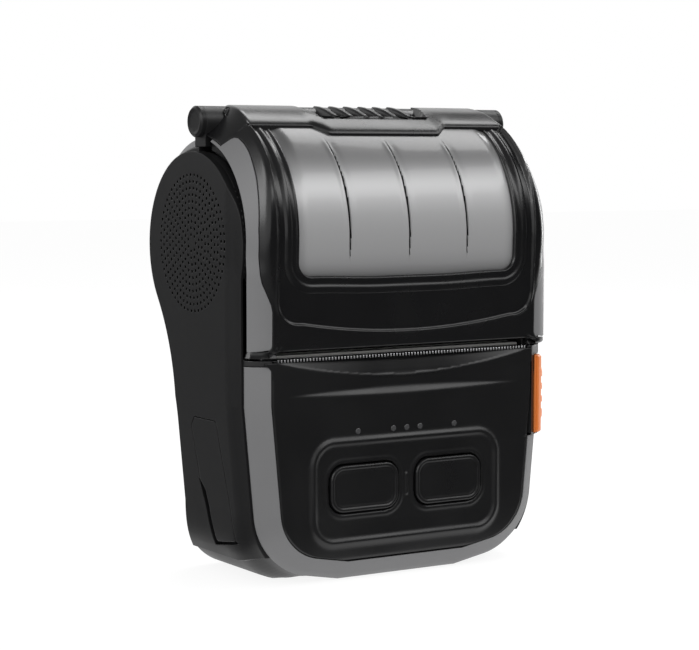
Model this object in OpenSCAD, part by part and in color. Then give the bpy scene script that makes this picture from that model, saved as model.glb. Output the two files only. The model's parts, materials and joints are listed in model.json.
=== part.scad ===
// Mobile receipt printer for 80 mm paper, standing upright with its front towards -Y.
// X runs across the width, Y from front to back, Z up, and the foot stands at Z = 0.

/* [Body] */
// Width over the two side covers
body_w = 104; // [101:0.5:108]
// Depth from the lid's front to the bulge round the paper roll
body_d = 63; // [61.5:0.5:66]
// Depth of the lower body
lower_d = 45.5; // [44:0.5:48]
// Height of the paper roll's axis
roll_z = 94.8; // [93:0.2:97]
// Height of the seam under the lid
seam_z = 63.5; // [62.5:0.1:64.5]
// Wall of the moulded shells
wall = 2.2; // [1.8:0.1:2.4]
// Thickness of the side covers
cover_t = 2.2; // [1.8:0.1:2.6]
// Radius of the bulge round the paper roll
bulge_r = 30.5; // [30:0.1:31.5]
// Radius of the concave sweep under the bulge
web_r = 40; // [30:1:50]
// Radius of the round part of the side covers
disc_r = 26.6; // [26:0.1:27]
// Radius of the hollow sweep at the back of the side covers
sweep_r = 60; // [50:1:70]
// Radius of the outline's lower corners, seen from the front
corner_r = 20; // [16:1:24]
// How much narrower each side is at the bottom
side_taper = 2.8; // [1:0.2:4]
// Radius of the edge between back and bottom
heel_r = 10; // [6:1:12]
// Half width of the flat foot
foot_hw = 20; // [12:1:24]

/* [Paper] */
// Width of the paper roll
paper_w = 80; // [76:1:81]
// Largest diameter of the paper roll
roll_d = 50; // [46:1:51]

/* [Lid] */
// Radius of the lid's curved front
lid_r = 34; // [33.5:0.1:35]
// How far the lid stands out in front of the lower body
lid_proud = 1.8; // [1.2:0.1:2.2]
// Step of the ledge above the window
brow_t = 2.2; // [1.6:0.1:2.8]
// Half width of the window
window_hw = 36.6; // [33:0.2:38]
// Height of the window's lower edge
window_z = 84.9; // [83:0.2:87]
// Width of the bezel round the window
bezel_w = 2.4; // [1.8:0.1:2.8]
// Thickness of the window
window_t = 1.6; // [1:0.1:1.8]
// Number of grip ribs on the ledge
rib_n = 6; // [4:1:7]
// Distance from rib to rib
rib_pitch = 5; // [4.2:0.2:5.6]

/* [Hinge] */
// Radius of the hinge barrels
barrel_r = 4.4; // [4:0.1:4.8]
// Radius of the hinge pin
pin_r = 1.5; // [1.2:0.1:1.8]
// Height of the hinge axis above the top of the bulge
hinge_rise = 3; // [2.6:0.1:3.4]

/* [Edges] */
// Width of the bumper, seen from the front
bumper_w = 5.8; // [5:0.1:6.6]
// Depth of the bumper at the front edge
bumper_d = 5.2; // [4.6:0.1:5.8]
// Thickness of the bumpers on the lid and round the back
bumper_t = 1.8; // [1.2:0.1:2]
// Width of the rounded edge at the back
edge_w = 5.3; // [4:0.1:6]
// Depth of the rounded edge at the back
edge_d = 4.3; // [3:0.1:5]

/* [Buttons] */
// Width of a key
key_w = 22.4; // [20:0.2:23]
// Height of a key
key_h = 13.2; // [11:0.2:14]
// Distance of each key's centre from the middle
key_x = 14.2; // [13.4:0.1:14.8]
// Height of the keys' centre
key_z = 26.2; // [25:0.1:27]
// Travel of a key
key_travel = 0.6; // [0.3:0.1:0.8]
// Height of the row of indicator lights
light_z = 42.2; // [41.8:0.1:44]
// Radius of an indicator light
light_r = 0.8; // [0.6:0.1:1]
// Travel of the lid release button
release_travel = 2; // [1:0.1:2.2]

/* [Mechanism] */
// Radius of the rubber platen roller
platen_r = 5; // [4.6:0.1:5.2]
// Radius of the platen shaft
shaft_r = 2; // [1.6:0.1:2.2]
// Teeth of the platen gear
platen_teeth = 14;
// Teeth of the idler gear
idler_teeth = 36;
// Teeth of the motor pinion
pinion_teeth = 12;
// Module of the gears
gear_m = 0.5; // [0.46:0.01:0.52]
// Radius of the motor
motor_r = 7.5; // [6:0.1:7.8]
// Length of the motor
motor_len = 12; // [9:0.5:16]
// Width of the battery pack
battery_w = 66; // [60:1:68]
// Height of the battery pack
battery_h = 38; // [34:1:39]
// Depth of the battery pack
battery_d = 15; // [12:0.5:16]

/* [Clearances] */
// Gap between the lid and the body
lid_gap = 0.5; // [0.4:0.05:0.7]
// Gap round keys, covers and other parts that slide
slide_gap = 0.3; // [0.25:0.05:0.4]
// Radial gap of a turning fit
turn_gap = 0.05; // [0.03:0.01:0.08]

/* [Hidden] */
$fn = 64;
far = 200;
thin = 0.02;
shell_hw = body_w / 2 - cover_t;
inner_hw = shell_hw - 1.8;
front_y = -body_d / 2 + lid_proud;
back_y = front_y + lower_d;
split_y = front_y + bumper_d;
roll_y = body_d / 2 - bulge_r;
disc_y = roll_y + 0.2;
disc_z = roll_z - 1.4;
heel_y = back_y - edge_d + 0.2;
sweep_y = heel_y + sweep_r;
sweep_z = disc_z - sqrt(pow(disc_r + sweep_r, 2) - pow(sweep_y - disc_y, 2));
cover_y = split_y + slide_gap;
low_hw = shell_hw - side_taper;
web_y = back_y + web_r;
web_z = roll_z - sqrt(pow(bulge_r + web_r, 2) - pow(web_y - roll_y, 2));
flat_hw = shell_hw - edge_w;

hinge_y = roll_y - 1.3;
hinge_z = roll_z + bulge_r + hinge_rise;
ear_x = shell_hw - 9.7;
lid_y = -body_d / 2 + lid_r;
lid_z = roll_z + 2.2;
lid_flat_hw = shell_hw - 8.3;
lid_bottom = seam_z + 0.3;
slot_hw = paper_w / 2 + 2.5;
slot_z = seam_z + 2.1;
brow_r = lid_r + brow_t;
brow_y = lid_y - 17.1;
tab_y = brow_y - 3.2;
window_top = lid_z + sqrt(pow(lid_r, 2) - pow(lid_y - brow_y, 2)) + 1;
window_r = 4.5;

cheek_in = paper_w / 2 + 2.3;
cheek_t = 1.6;
cheek_out = cheek_in + cheek_t;
tray_in = roll_d / 2 + 0.9;
tray_out = tray_in + 1.2;
platen_y = front_y + wall + platen_r + 0.2;
platen_z = seam_z + platen_r + 1.3;
reach = [hinge_y - platen_y, hinge_z - platen_z];
reach_len = norm(reach);
leave = [-reach[1], reach[0]] / reach_len;
bush_r = shaft_r + 1;
gear_t = 1.5;
gear_x = inner_hw - 0.6 - gear_t;
mesh_gap = 0.1;
idler_c = [platen_y, platen_z] - leave * (gear_m * (platen_teeth + idler_teeth) / 2 + mesh_gap);
pinion_dir = [0.2, -0.98];
motor_c = idler_c + pinion_dir / norm(pinion_dir) * (gear_m * (idler_teeth + pinion_teeth) / 2 + mesh_gap);
latch_y = idler_c[0] + 4.6;
latch_z = idler_c[1] + 0.8;
hook_x = cheek_out + slide_gap;
hook_t = 1.4;
head_top = platen_z - platen_r - 0.3;

battery_z = 11;
bay_t = 1.2;
screw_r = 1.25;
screw_x = battery_w / 2 + 5.5;
screw_zs = [16.5, 40.5];
jack_z = 24.3;
board_y = front_y + 7.5;
board_t = 1.6;
io_x = -shell_hw + 8.8;
io_face = -low_hw + 0.6;
release_z0 = 37.3;
release_z1 = 60.3;
press = [-1, 1] / sqrt(2);

// A profile drawn in Y and Z, carried along X
module along_x(x0, x1) {
    translate([x0, 0, 0]) rotate([90, 0, 90]) linear_extrude(x1 - x0) children();
}

// A profile drawn in X and Z, carried along Y
module along_y(y0, y1) {
    translate([0, y1, 0]) rotate([90, 0, 0]) linear_extrude(y1 - y0) children();
}

// A profile of radius and X, turned round an axis along X
module round_x(y, z) {
    translate([0, y, z]) rotate([0, 90, 0]) rotate_extrude($fn = 96) children();
}

module rod_x(y, z, r, x0, x1) {
    translate([x0, y, z]) rotate([0, 90, 0]) cylinder(r = r, h = x1 - x0);
}

module rod_y(x, z, r, y0, y1) {
    translate([x, y1, z]) rotate([90, 0, 0]) cylinder(r = r, h = y1 - y0);
}

module box(a, b) {
    translate(a) cube(b - a);
}

module both_sides() {
    children();
    mirror([1, 0, 0]) children();
}

module rounded_rect(w, h, r) {
    hull() for (x = [-1, 1], z = [-1, 1]) translate([x * (w / 2 - r), z * (h / 2 - r)]) circle(r);
}

// Outline of the printer seen from the front, drawn smaller by an inset
module front_outline(inset) {
    offset(delta = -inset) hull() {
        translate([-shell_hw, web_z]) square([2 * shell_hw, far - web_z]);
        for (s = [-1, 1]) translate([s * (low_hw - corner_r), corner_r + 1.6]) circle(corner_r, $fn = 96);
        translate([-foot_hw, 0]) square([2 * foot_hw, 1]);
    }
}

module outline_slab(y, inset) {
    along_y(y, y + thin) front_outline(inset);
}

// The front of the lower body with its bevelled edge, up to the seam
module front_body() {
    hull() {
        outline_slab(front_y, bumper_w);
        outline_slab(front_y + bumper_d / 2, bumper_w * 0.28);
        outline_slab(split_y - thin, 0);
    }
}

// The rear of the lower body with its rounded back edges
module rear_body() {
    intersection() {
        along_y(split_y, back_y) front_outline(0);
        linear_extrude(seam_z) polygon([[-shell_hw - 1, split_y - 1], [-shell_hw - 1, back_y - edge_d],
            [-shell_hw, back_y - edge_d], [-shell_hw + edge_w * 0.4, back_y - edge_d * 0.35], [-flat_hw, back_y],
            [flat_hw, back_y], [shell_hw - edge_w * 0.4, back_y - edge_d * 0.35], [shell_hw, back_y - edge_d],
            [shell_hw + 1, back_y - edge_d], [shell_hw + 1, split_y - 1]]);
        along_x(-far, far) difference() {
            union() {
                translate([back_y - heel_r, heel_r]) circle(heel_r);
                polygon([[split_y - 1, 0], [back_y - heel_r, 0], [back_y - heel_r, heel_r], [back_y, heel_r],
                    [back_y, web_z], [roll_y, web_z], [roll_y, seam_z], [split_y - 1, seam_z]]);
            }
        }
    }
}

// The bulge round the paper roll, with the same rounded edges as the lower body
module bulge() {
    round_x(roll_y, roll_z) polygon(concat(bulge_edge(1), bulge_edge(-1)));
}

function bulge_edge(s) = let (p = [[0, shell_hw], [bulge_r - edge_d, shell_hw],
    [bulge_r - edge_d * 0.35, shell_hw - edge_w * 0.4], [bulge_r, flat_hw]])
    [for (i = [0:3]) s > 0 ? p[i] : [p[3 - i][0], -p[3 - i][1]]];

// Tool that scoops the concave sweep between the bulge and the back
module web_tool(extra) {
    round_x(web_y, web_z) polygon([[0, far], [web_r + edge_d + 20, far], [web_r + edge_d + extra, shell_hw],
        [web_r + edge_d * 0.35 + extra, shell_hw - edge_w * 0.4], [web_r + extra, flat_hw],
        [web_r + extra, -flat_hw], [web_r + edge_d * 0.35 + extra, -shell_hw + edge_w * 0.4],
        [web_r + edge_d + extra, -shell_hw], [web_r + edge_d + 20, -far], [0, -far]]);
}

module web_profile() {
    polygon([[roll_y, roll_z], [roll_y, web_z], [web_y, web_z]]);
}

// Side view of the hollow in the rear housing
module inner_profile() {
    translate([roll_y, roll_z]) circle(bulge_r - wall);
    translate([split_y - 5, wall + 3]) square([back_y - wall - split_y + 5 - heel_r, roll_z - wall - 3]);
    hull() {
        translate([split_y - 5, wall]) square([10, roll_z - wall]);
        translate([back_y - heel_r, heel_r]) circle(heel_r - wall);
        translate([back_y - wall - 5, roll_z - 5]) square([5, 5]);
    }
    difference() {
        web_profile();
        translate([web_y, web_z]) circle(web_r + wall);
    }
}

// Side view of the part of each side that the lid closes round
module paddle_profile() {
    translate([disc_y, disc_z]) circle(disc_r);
    difference() {
        union() {
            translate([cover_y, -1]) square([back_y - cover_y, disc_z + 1]);
            web_profile();
        }
        translate([web_y, web_z]) circle(web_r + edge_d);
    }
}

// Side view of a side cover
module cover_profile() {
    translate([disc_y, disc_z]) circle(disc_r);
    difference() {
        polygon([[cover_y, 0], [heel_y, 0], [heel_y, sweep_z], [sweep_y, sweep_z], [disc_y, disc_z], [cover_y, disc_z]]);
        translate([sweep_y, sweep_z]) circle(sweep_r, $fn = 128);
    }
}

// Bevelled edges of the lid: a cone round its curve and a chamfer down its front, set in by an inset
module lid_edges(inset) {
    round_x(roll_y + 0.5, roll_z + 0.8) offset(delta = -inset) polygon([[0, -shell_hw], [lid_r - 6.7, -shell_hw],
        [lid_r - 3.6, 2 - shell_hw], [lid_r - 0.3, 4.5 - shell_hw], [lid_r + 3.4, 8.3 - shell_hw], [far, 8.3 - shell_hw],
        [far, shell_hw - 8.3], [lid_r + 3.4, shell_hw - 8.3], [lid_r - 0.3, shell_hw - 4.5], [lid_r - 3.6, shell_hw - 2],
        [lid_r - 6.7, shell_hw], [0, shell_hw]]);
    translate([0, 0, seam_z - 2]) linear_extrude(roll_z - seam_z - 3 - inset) offset(delta = -inset)
        polygon([[-shell_hw, 0], [-shell_hw, front_y + 4.6], [2 - shell_hw, front_y + 1.9], [4.5 - shell_hw, front_y + 0.3],
            [8.3 - shell_hw, front_y - 0.5], [0, front_y - 3], [shell_hw - 8.3, front_y - 0.5],
            [shell_hw - 4.5, front_y + 0.3], [shell_hw - 2, front_y + 1.9], [shell_hw, front_y + 4.6], [shell_hw, 0]]);
}

// Outside of the lid, from the seam to the hinge
module lid_body() {
    intersection() {
        along_x(-shell_hw, shell_hw) lid_profile(0);
        lid_edges(0);
    }
}

// Side view of the space that the lid may fill
module lid_zone() {
    difference() {
        translate([-far, lid_bottom]) square([far + hinge_y - 0.2, far]);
        translate([disc_y, disc_z]) circle(disc_r + lid_gap);
        translate([cover_y - lid_gap, 0]) square([far, disc_z]);
    }
}

// Side view of the lid's outside, drawn smaller by an inset
module lid_profile(inset) {
    hull() {
        translate([lid_y, lid_z]) circle(lid_r - inset, $fn = 180);
        translate([front_y - 0.3 + inset, seam_z - 2]) square([2, 1]);
    }
}

module brow_plan(y, tab) {
    polygon([[-shell_hw, 8], [-shell_hw, y], [-tab - 4, y], [-tab, y - tab_y_step()],
        [tab, y - tab_y_step()], [tab + 4, y], [shell_hw, y], [shell_hw, 8]]);
}

function tab_y_step() = brow_y - tab_y;

// The raised ledge along the top of the lid
module brow() {
    intersection() {
        round_x(lid_y, lid_z) polygon([[0, 3.4 - shell_hw], [lid_r - 1.4, 3.4 - shell_hw], [brow_r - 1, 5.4 - shell_hw],
            [brow_r, 7 - shell_hw], [brow_r, shell_hw - 7], [brow_r - 1, shell_hw - 5.4],
            [lid_r - 1.4, shell_hw - 3.4], [0, shell_hw - 3.4]]);
        translate([0, 0, roll_z + 10]) linear_extrude(60) brow_plan(brow_y, 18.3);
        along_x(-far, far) difference() {
            translate([-far, 0]) square([far + hinge_y - 0.2, far]);
            translate([lid_y, lid_z]) circle(lid_r - 3);
        }
    }
}

// Hollow for the grip ribs, with slanted ends
module grip_pocket() {
    half = rib_n * rib_pitch / 2 + 1.5;
    along_y(brow_y + 2.2, 40) polygon([[-half, hinge_z - 1.5], [half, hinge_z - 1.5], [half + 4, hinge_z + 4.5],
        [half + 4, far], [-half - 4, far], [-half - 4, hinge_z + 4.5]]);
}

module grip_ribs() {
    intersection() {
        round_x(lid_y, lid_z) for (i = [0:rib_n - 1]) {
            x = (i - (rib_n - 1) / 2) * rib_pitch;
            polygon([[lid_r - 1, x - 1.8], [lid_r, x - 1.6], [brow_r - 0.5, x - 1.1], [brow_r, x - 0.5],
                [brow_r, x + 0.5], [brow_r - 0.5, x + 1.1], [lid_r, x + 1.6], [lid_r - 1, x + 1.8]]);
        }
        box([-30, brow_y + 2.1, hinge_z - 3], [30, hinge_y - 0.2, hinge_z + 10]);
    }
}

// Room that the lid leaves for the hinge ears and their barrels
module ear_room() {
    both_sides() {
        box([ear_x - slide_gap, hinge_y - 3.1, roll_z], [far, far, far]);
        rod_x(hinge_y, hinge_z, barrel_r + lid_gap, ear_x - slide_gap, far);
    }
}

// Window seen from the front, drawn larger by a margin
module window_outline(margin) {
    offset(delta = margin) union() {
        hull() {
            for (s = [-1, 1]) translate([s * (window_hw - window_r), window_z + window_r + 0.6]) circle(window_r);
            translate([-10, window_z]) square([20, 1]);
            translate([-window_hw - 1, window_top - 1]) square([2 * window_hw + 2, 30]);
        }
    }
}

module window_tab_cut(margin) {
    translate([0, 0, roll_z]) linear_extrude(60) offset(delta = margin) brow_plan(brow_y, 18.3);
}

// The three tapered creases in the window
module window_creases() {
    for (x = [-19.7, 0, 19.7]) translate([x, 0, 0]) along_y(-far, lid_y)
        polygon([[-0.05, window_z + 4.5], [0.55, lid_z + 2], [0.3, lid_z + 16], [-1.4, lid_z + 25.5],
            [-1.3, lid_z + 25.5], [-0.5, lid_z + 16], [-0.35, lid_z + 2]]);
}

// The skin that the bumpers take up along the lid's two edges
module lid_bumper_zone() {
    difference() {
        both_sides() along_y(-far, hinge_y) polygon([[shell_hw - bumper_w + 0.2, seam_z + 2.6], [far, seam_z + 2.6],
            [far, far], [shell_hw - 5.6, far], [shell_hw - 5.2, roll_z + 26], [shell_hw - 3.8, roll_z + 18],
            [shell_hw - 3.4, roll_z - 10], [shell_hw - bumper_w + 0.2, roll_z - 17]]);
        lid_edges(bumper_t);
        ear_room();
    }
}

// The skin that a rear bumper takes up round the bulge
module rear_bumper_zone() {
    intersection() {
        difference() {
            along_x(shell_hw - edge_w, far) translate([roll_y, roll_z]) circle(far);
            round_x(roll_y, roll_z) polygon([[0, 0], [bulge_r - bumper_t, 0], [bulge_r - bumper_t, flat_hw - 0.3],
                [bulge_r - edge_d * 0.35 - bumper_t, shell_hw - edge_w * 0.4 - 0.4],
                [bulge_r - edge_d + 0.3, shell_hw - 0.7], [bulge_r - edge_d + 0.3, far], [0, far]]);
            along_x(0, far) translate([disc_y, disc_z]) circle(disc_r + 0.1);
        }
        box([0, hinge_y + 3.5, roll_z - 8], [far, far, far]);
    }
}

module hinge_ears() {
    both_sides() {
        rod_x(hinge_y, hinge_z, barrel_r, ear_x, shell_hw + 0.2);
        box([ear_x, hinge_y - 2.6, hinge_z - 7], [shell_hw, hinge_y + 3.4, hinge_z - 1]);
    }
}

module key_hole(x, gap) {
    translate([x, key_z]) rounded_rect(key_w + 2 * gap, key_h + 2 * gap, 4.5);
}

module rear_housing() {
    color([0.13, 0.13, 0.14]) difference() {
        union() {
            rear_body();
            intersection() {
                bulge();
                box([-far, hinge_y + 1.2, roll_z - bulge_r - 0.5], [far, far, far]);
            }
            difference() {
                along_x(-shell_hw, shell_hw) web_profile();
                web_tool(0);
            }
            both_sides() along_x(inner_hw, shell_hw) intersection() {
                paddle_profile();
                translate([-far, seam_z - 5]) square([2 * far, far]);
            }
            hinge_ears();
        }
        difference() {
            intersection() {
                along_x(-inner_hw, inner_hw) inner_profile();
                along_y(-far, far) front_outline(1.8);
            }
            battery_bay_block();
            for (s = [-1, 1], z = screw_zs) rod_y(s * screw_x, z, 3.2, board_y + 3, back_y - 1);
            both_sides() box([ear_x - 1.2, hinge_y + 1.2, roll_z + bulge_r - 5], [inner_hw, hinge_y + 3.4, far]);
        }
        rear_bumper_zone();
        mirror([1, 0, 0]) rear_bumper_zone();
        rod_x(hinge_y, hinge_z, barrel_r + lid_gap, -ear_x + 0.01, ear_x - 0.01);
        rod_x(hinge_y, hinge_z, pin_r, -far, far);
        battery_bay_hole();
        for (s = [-1, 1], z = screw_zs) {
            rod_y(s * screw_x, z, screw_r + turn_gap, -far, far);
            rod_y(s * screw_x, z, 2.7, back_y - 1.6, far);
        }
        latch_slot();
        socket_holes(slide_gap);
        release_pocket();
    }
}

module battery_bay_block() {
    box([-battery_w / 2 - bay_t - slide_gap, back_y - battery_d - bay_t - slide_gap, battery_z - bay_t - slide_gap],
        [battery_w / 2 + bay_t + slide_gap, back_y, battery_z + battery_h + bay_t + slide_gap]);
}

module battery_bay_hole() {
    box([-battery_w / 2 - slide_gap, back_y - battery_d - slide_gap, battery_z - slide_gap],
        [battery_w / 2 + slide_gap, far, battery_z + battery_h + slide_gap]);
    box([-14, back_y - battery_d - 5, battery_z + 4], [14, back_y - battery_d, battery_z + 12]);
}

module latch_slot() {
    box([-8 - slide_gap, back_y - 3, battery_z + battery_h - 1], [8 + slide_gap, far, battery_z + battery_h + 8.6]);
}

module socket_holes(gap) {
    box([-far, -12.6 - gap, 31 - gap], [io_x - 2, -3.4 + gap, 34.2 + gap]);
    rod_x(-10, jack_z, 4.4 + gap, -far, io_x - 2);
}

// Plan of the release button, which presses in along a diagonal
module release_plan(gap) {
    p1 = [shell_hw - 3.2, front_y - 0.05];
    p5 = [body_w / 2 - 0.1, front_y + 11.9];
    side = [gap, gap] / sqrt(2);
    depth = 3.2 + gap * 2;
    polygon([p1 - side - press * gap * 9, [shell_hw - 1.2, front_y + 1.1] - press * gap * 9,
        [shell_hw + 0.8, front_y + 3.5] - press * gap * 9, [body_w / 2 - 0.1, front_y + 6.1] - press * gap * 9,
        p5 + side - press * gap * 9, p5 + side + press * depth, p1 - side + press * depth]);
}

module release_pocket() {
    translate([0, 0, release_z0 - slide_gap]) linear_extrude(release_z1 - release_z0 + 2 * slide_gap) hull() {
        release_plan(slide_gap);
        translate(press * (release_travel + slide_gap)) release_plan(slide_gap);
    }
    box([hook_x, front_y + 5, finger_z() - 1.6], [inner_hw, latch_y, finger_z() + 1.6]);
}

// Side view of the front's share of the body: all but the bumper
module cover_zone(gap) {
    front_outline(bumper_w - gap);
    translate([0, release_z0 - 0.5 - gap]) square([far, far]);
    translate([-far, seam_z - 1.8 - gap]) square([far, far]);
}

// The front's plate, which reaches out to the bevelled edge round the release button
module front_plate() {
    intersection() {
        along_y(front_y, split_y) intersection() {
            front_outline(0);
            cover_zone(0);
            translate([-far, 0]) square([2 * far, seam_z - 0.3]);
        }
        linear_extrude(far) polygon([[-shell_hw - 1, split_y + 1], [-shell_hw - 1, split_y], [-shell_hw, split_y],
            [bumper_w * 0.28 - shell_hw, front_y + bumper_d / 2], [bumper_w - 0.02 - shell_hw, front_y],
            [shell_hw - bumper_w + 0.02, front_y], [shell_hw - bumper_w * 0.28, front_y + bumper_d / 2],
            [shell_hw, split_y], [shell_hw + 1, split_y], [shell_hw + 1, split_y + 1]]);
    }
}

module front_cover() {
    color([0.1, 0.1, 0.11]) difference() {
        union() {
            front_plate();
            pad_ridge();
        }
        difference() {
            along_y(front_y + wall, far) front_outline(bumper_w + 1);
            for (s = [-1, 1], z = screw_zs) rod_y(s * screw_x, z, 3, front_y + 1, board_y + 3 - thin);
            for (s = [-1, 1], z = [board_lo() + 3, board_hi() - 3]) rod_y(s * 28, z, 2, front_y + 1, board_y - thin);
        }
        hook_room();
        box([-slot_hw, -far, seam_z - 0.9], [slot_hw, far, far]);
        along_y(-far, far) for (s = [-1, 1]) key_hole(s * key_x, slide_gap);
        for (x = light_xs()) rod_y(x, light_z, light_r, -far, far);
        for (s = [-1, 1], z = screw_zs) rod_y(s * screw_x, z, screw_r, front_y + wall, far);
        scoop();
        release_pocket();
    }
}

// Room for the latch hooks behind the front
module hook_room() {
    box([-hook_x - hook_t - 0.4, front_y + wall + 0.6, seam_z - 13], [hook_x + hook_t + 0.4, far, far]);
}

function light_xs() = [-16.3, -4.5, 0, 4.5, 16.3];
function board_lo() = 8.5;
function board_hi() = 49.5;

// Crescent under the paper slot
module scoop() {
    along_y(-far, front_y + 0.7) intersection() {
        translate([0, seam_z + 163.3]) circle(170, $fn = 256);
        translate([0.6 - slot_hw, 0]) square([2 * slot_hw - 1.2, seam_z - 0.5]);
    }
}

module pad_ridge() {
    w = 2 * key_x + key_w + 12;
    h = key_h + 13.8;
    along_y(front_y - 0.4, front_y + 0.5) translate([0, key_z - 0.8]) difference() {
        rounded_rect(w, h, 8);
        rounded_rect(w - 5, h - 5, 5.5);
    }
    along_y(front_y - 0.7, front_y) translate([0, key_z - 0.8]) difference() {
        rounded_rect(w - 1.4, h - 1.4, 7.3);
        rounded_rect(w - 3.6, h - 3.6, 6.2);
    }
    box([-0.45, front_y - 0.5, key_z - 3], [0.45, front_y + 0.5, key_z + 3]);
}

module lower_bumper() {
    color([0.42, 0.42, 0.43]) difference() {
        intersection() {
            front_body();
            along_y(-far, far) difference() {
                front_outline(0);
                translate([0, -0.02]) cover_zone(0.15);
            }
        }
        hook_room();
    }
}

module side_cover_solid() {
    intersection() {
        along_x(low_hw - 12, shell_hw + cover_t) cover_profile();
        along_y(-far, far) difference() {
            front_outline(-cover_t);
            front_outline(0);
        }
        box([0, -far, 8], [far, far, far]);
    }
}

module left_side_cover() {
    color([0.15, 0.15, 0.16]) difference() {
        mirror([1, 0, 0]) side_cover_solid();
        along_x(-far, 0) port_opening();
        along_x(-body_w / 2 - 1, -body_w / 2 + 0.4) dimples();
    }
}

// Rings of round dimples on the left disc
module dimples() {
    translate([disc_y, disc_z + 1]) for (k = [0:9]) {
        r = 19.1 - 1.86 * k;
        n = round(r * 3);
        for (i = [0:n - 1]) rotate(360 / n * (i + k / 2)) translate([r, 0]) circle(0.44, $fn = 16);
    }
}

module right_side_cover() {
    color([0.15, 0.15, 0.16]) difference() {
        side_cover_solid();
        release_pocket();
    }
}

module port_profile() {
    offset(r = 1) offset(delta = -1)
        polygon([[1.4, 45.2], [-11.2, 45.2], [-16.9, 12.6], [-5.9, 11.3], [-1.6, 24.6], [1, 27.3], [3.4, 42.6]]);
}

module port_opening() {
    offset(delta = slide_gap) {
        port_profile();
        polygon([[1.6, 27.3], [-17.2, 12.2], [-4.4, 10.6]]);
    }
}

module port_cover() {
    color([0.12, 0.12, 0.13]) intersection() {
        along_x(-body_w / 2 - 1, -shell_hw + 6) port_profile();
        along_y(-far, far) difference() {
            front_outline(-cover_t);
            front_outline(-cover_t + 1.5);
        }
    }
}

module rear_bumper_left() {
    mirror([1, 0, 0]) rear_bumper_right();
}

module rear_bumper_right() {
    color([0.42, 0.42, 0.43]) intersection() {
        bulge();
        rear_bumper_zone();
    }
}

module lid_frame() {
    color([0.1, 0.1, 0.11]) difference() {
        union() {
            intersection() {
                lid_body();
                along_x(-far, far) lid_zone();
            }
            difference() {
                brow();
                grip_pocket();
            }
            grip_ribs();
            rod_x(hinge_y, hinge_z, barrel_r, -ear_x + slide_gap, ear_x - slide_gap);
        }
        along_x(-cheek_in + 0.1, cheek_in - 0.1) difference() {
            lid_profile(wall);
            translate([hinge_y - 7, hinge_z - 5]) square([20, 20]);
        }
        lower_side_pockets();
        ear_room();
        intersection() {
            along_y(-far, lid_y) window_outline(bezel_w);
            difference() {
                box([-far, -far, 0], [far, lid_y, far]);
                window_tab_cut(0);
            }
            along_x(-far, far) difference() {
                lid_profile(-3);
                lid_profile(wall + 1);
            }
        }
        lid_bumper_zone();
        rod_x(hinge_y, hinge_z, pin_r + turn_gap, -far, far);
        rod_x(hinge_y, hinge_z, 3.3, -14, 14);
        box([-slot_hw, -far, 0], [slot_hw, far, slot_z]);
    }
}

// Room beside the platen for the latch hooks and the cheeks of the tray
module lower_side_pockets() {
    both_sides() box([cheek_in - 1, front_y + wall + 0.1, 0], [hook_x + hook_t + 0.7, far, platen_z + 6]);
    both_sides() box([cheek_in - 1, front_y + wall + 1, 0], [gear_x + gear_t + 0.4, far, platen_z + 6]);
}

module lid_window() {
    color([0.62, 0.63, 0.65, 0.85]) difference() {
        intersection() {
            along_x(-window_hw - 3, window_hw + 3) difference() {
                lid_profile(0.35);
                lid_profile(0.35 + window_t);
            }
            along_y(-far, lid_y) window_outline(-0.1);
            difference() {
                box([-far, -far, 0], [far, lid_y, far]);
                window_tab_cut(0.1);
            }
        }
        intersection() {
            window_creases();
            along_x(-far, far) difference() {
                lid_profile(-1);
                lid_profile(0.95);
            }
        }
    }
}

module window_bezel() {
    color([0.04, 0.04, 0.05]) intersection() {
        along_x(-lid_flat_hw + 0.5, lid_flat_hw - 0.5) difference() {
            lid_profile(-0.35);
            lid_profile(wall);
        }
        along_y(-far, lid_y) difference() {
            window_outline(bezel_w);
            window_outline(0);
        }
        difference() {
            box([-far, -far, 0], [far, lid_y, far]);
            window_tab_cut(0);
        }
    }
}

module upper_bumper_left() {
    mirror([1, 0, 0]) upper_bumper_right();
}

module upper_bumper_right() {
    color([0.42, 0.42, 0.43]) difference() {
        intersection() {
            lid_body();
            along_x(0, far) lid_zone();
            lid_bumper_zone();
        }
        rod_x(platen_y, platen_z, gear_m * (platen_teeth + 2) / 2 + 0.4, gear_x - 1, gear_x + gear_t + 0.3);
    }
}

// Inner frame of the lid, which carries the platen
module lid_liner() {
    color([0.16, 0.16, 0.17]) difference() {
        union() {
            along_x(-cheek_in + 0.4, cheek_in - 0.4) intersection() {
                lid_profile(wall);
                difference() {
                    translate([-far, slot_z]) square([far + platen_y + 1, platen_r * 2 + 4]);
                    translate([platen_y, platen_z]) circle(platen_r + 0.6);
                    translate([platen_y - 1.5, 0]) square([far, platen_z + 0]);
                }
            }
            both_sides() along_x(paper_w / 2 + 0.5, cheek_in - 0.4) hull() {
                translate([platen_y, platen_z]) circle(bush_r + 1.2);
                translate([platen_y - 1, platen_z + 8]) square([2, 2]);
            }
        }
        rod_x(platen_y, platen_z, bush_r, -far, far);
    }
}

module hinge_pin() {
    color([0.7, 0.7, 0.72]) rod_x(hinge_y, hinge_z, pin_r, -shell_hw - 0.2, shell_hw + 0.2);
}

module hinge_caps() {
    color([0.13, 0.13, 0.14]) both_sides()
        translate([0, hinge_y, hinge_z]) rotate([0, 90, 0]) rotate_extrude() polygon([[0, shell_hw + 0.2],
            [barrel_r, shell_hw + 0.2], [barrel_r, body_w / 2 - 0.6], [barrel_r - 0.6, body_w / 2],
            [barrel_r - 1, body_w / 2], [barrel_r - 1.6, body_w / 2 - 0.3], [0, body_w / 2 - 0.3]]);
}

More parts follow.
